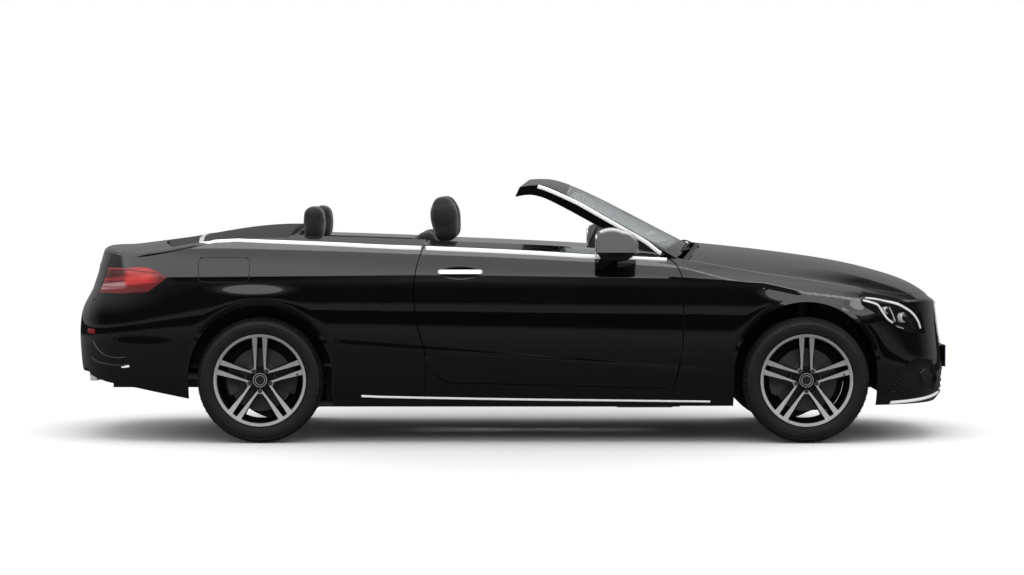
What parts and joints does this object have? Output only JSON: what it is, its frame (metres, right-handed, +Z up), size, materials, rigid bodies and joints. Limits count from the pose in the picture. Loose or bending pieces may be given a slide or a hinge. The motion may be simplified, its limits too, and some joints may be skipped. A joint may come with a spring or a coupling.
{
  "type": "convertible car",
  "caption": "Two-door four-seat open car with its soft top folded away, opening doors, bonnet and lids, steered front wheels and rolling wheels.",
  "frame": {"origin": "on the ground under the middle of the car's bounding box", "axes": "+X forward, +Y to the car's left, +Z up"},
  "size_m": [4.6722, 2.04, 1.3757],
  "materials": {
    "paint": "gloss",
    "structure": "satin",
    "trim_black": "gloss",
    "moulding": "matte",
    "chrome": "polished",
    "glass": "clear",
    "headlamp": "clear",
    "tail_lamp": "gloss",
    "leather": "grained",
    "roof_fabric": "woven",
    "tyre": "matte",
    "rim": "machined",
    "steel": "machined",
    "cast": "as cast",
    "alloy": "cast",
    "cabin": "grained"
  },
  "bodies": {
    "body": {"floor_pan": "structure", "front_frame": "structure", "inner_wing_left": "structure", "inner_wing_right": "structure", "rear_structure": "structure", "rear_house_left": "structure", "rear_house_right": "structure", "radiator": "alloy", "side_frame_left": "paint", "side_frame_right": "paint", "fender_left": "paint", "fender_right": "paint", "front_bumper": "paint", "rear_bumper": "paint", "grille": "trim_black", "intake_grilles": "trim_black", "headlamps": "headlamp", "tail_lamps": "tail_lamp", "windscreen_frame": "paint", "windscreen_glass": "glass", "cowl": "moulding", "dashboard": "cabin", "seat_left": "leather", "seat_right": "leather", "rear_seat": "leather", "folded_roof": "roof_fabric", "engine": "alloy", "exhaust": "steel", "front_suspension": "cast", "rear_suspension": "cast"},
    "bonnet": {"bonnet": "paint"},
    "tonneau_lid": {"tonneau_lid": "paint"},
    "boot_lid": {"boot_lid": "paint"},
    "door_left": {"door_left": "paint", "mirror_left": "paint", "door_handle_left": "chrome"},
    "door_right": {"door_right": "paint", "mirror_right": "paint", "door_handle_right": "chrome"},
    "steering_wheel": {"steering_wheel": "leather"},
    "knuckle_left": {"knuckle_left": "cast"},
    "knuckle_right": {"knuckle_right": "cast"},
    "wheel_front_left": {"tyre_front_left": "tyre", "rim_front_left": "rim", "brake_disc_front_left": "steel"},
    "wheel_front_right": {"tyre_front_right": "tyre", "rim_front_right": "rim", "brake_disc_front_right": "steel"},
    "wheel_rear_left": {"tyre_rear_left": "tyre", "rim_rear_left": "rim", "brake_disc_rear_left": "steel"},
    "wheel_rear_right": {"tyre_rear_right": "tyre", "rim_rear_right": "rim", "brake_disc_rear_right": "steel"}
  },
  "joints": [
    {"name": "bonnet_hinge", "type": "hinge", "parent": "body", "child": "bonnet", "pos_m": [0.9, 0, 1.012], "axis": [0, -1, 0], "range_deg": [0, 50]},
    {"name": "tonneau_hinge", "type": "hinge", "parent": "body", "child": "tonneau_lid", "pos_m": [-1.871, 0, 1.057], "axis": [0, -1, 0], "range_deg": [0, 50]},
    {"name": "boot_hinge", "type": "hinge", "parent": "body", "child": "boot_lid", "pos_m": [-1.78, 0, 1.057], "axis": [0, 1, 0], "range_deg": [0, 75]},
    {"name": "door_left_hinge", "type": "hinge", "parent": "body", "child": "door_left", "pos_m": [0.854, 0.9, 0.6], "axis": [0, 0.0523, -0.9986], "range_deg": [0, 65]},
    {"name": "door_right_hinge", "type": "hinge", "parent": "body", "child": "door_right", "pos_m": [0.854, -0.9, 0.6], "axis": [0, 0.0523, 0.9986], "range_deg": [0, 65]},
    {"name": "steer_left", "type": "hinge", "parent": "body", "child": "knuckle_left", "pos_m": [1.523, 0.7445, 0.328], "axis": [0, 0, 1], "range_deg": [-33, 33]},
    {"name": "steer_right", "type": "hinge", "parent": "body", "child": "knuckle_right", "pos_m": [1.523, -0.7445, 0.328], "axis": [0, 0, 1], "range_deg": [-33, 33]},
    {"name": "steering_turn", "type": "hinge", "parent": "body", "child": "steering_wheel", "pos_m": [0.415, 0.37, 0.955], "axis": [-0.9135, 0, 0.4067], "range_deg": [-462, 462]},
    {"name": "spin_front_left", "type": "hinge", "parent": "knuckle_left", "child": "wheel_front_left", "pos_m": [1.523, 0.794, 0.328], "axis": [0, 1, 0], "continuous": true},
    {"name": "spin_front_right", "type": "hinge", "parent": "knuckle_right", "child": "wheel_front_right", "pos_m": [1.523, -0.794, 0.328], "axis": [0, 1, 0], "continuous": true},
    {"name": "spin_rear_left", "type": "hinge", "parent": "body", "child": "wheel_rear_left", "pos_m": [-1.317, 0.785, 0.328], "axis": [0, 1, 0], "continuous": true},
    {"name": "spin_rear_right", "type": "hinge", "parent": "body", "child": "wheel_rear_right", "pos_m": [-1.317, -0.785, 0.328], "axis": [0, 1, 0], "continuous": true}
  ],
  "couplings": [
    {"joint": "steer_right", "follows": "steer_left", "ratio": 1},
    {"joint": "steering_turn", "follows": "steer_left", "ratio": 14}
  ]
}
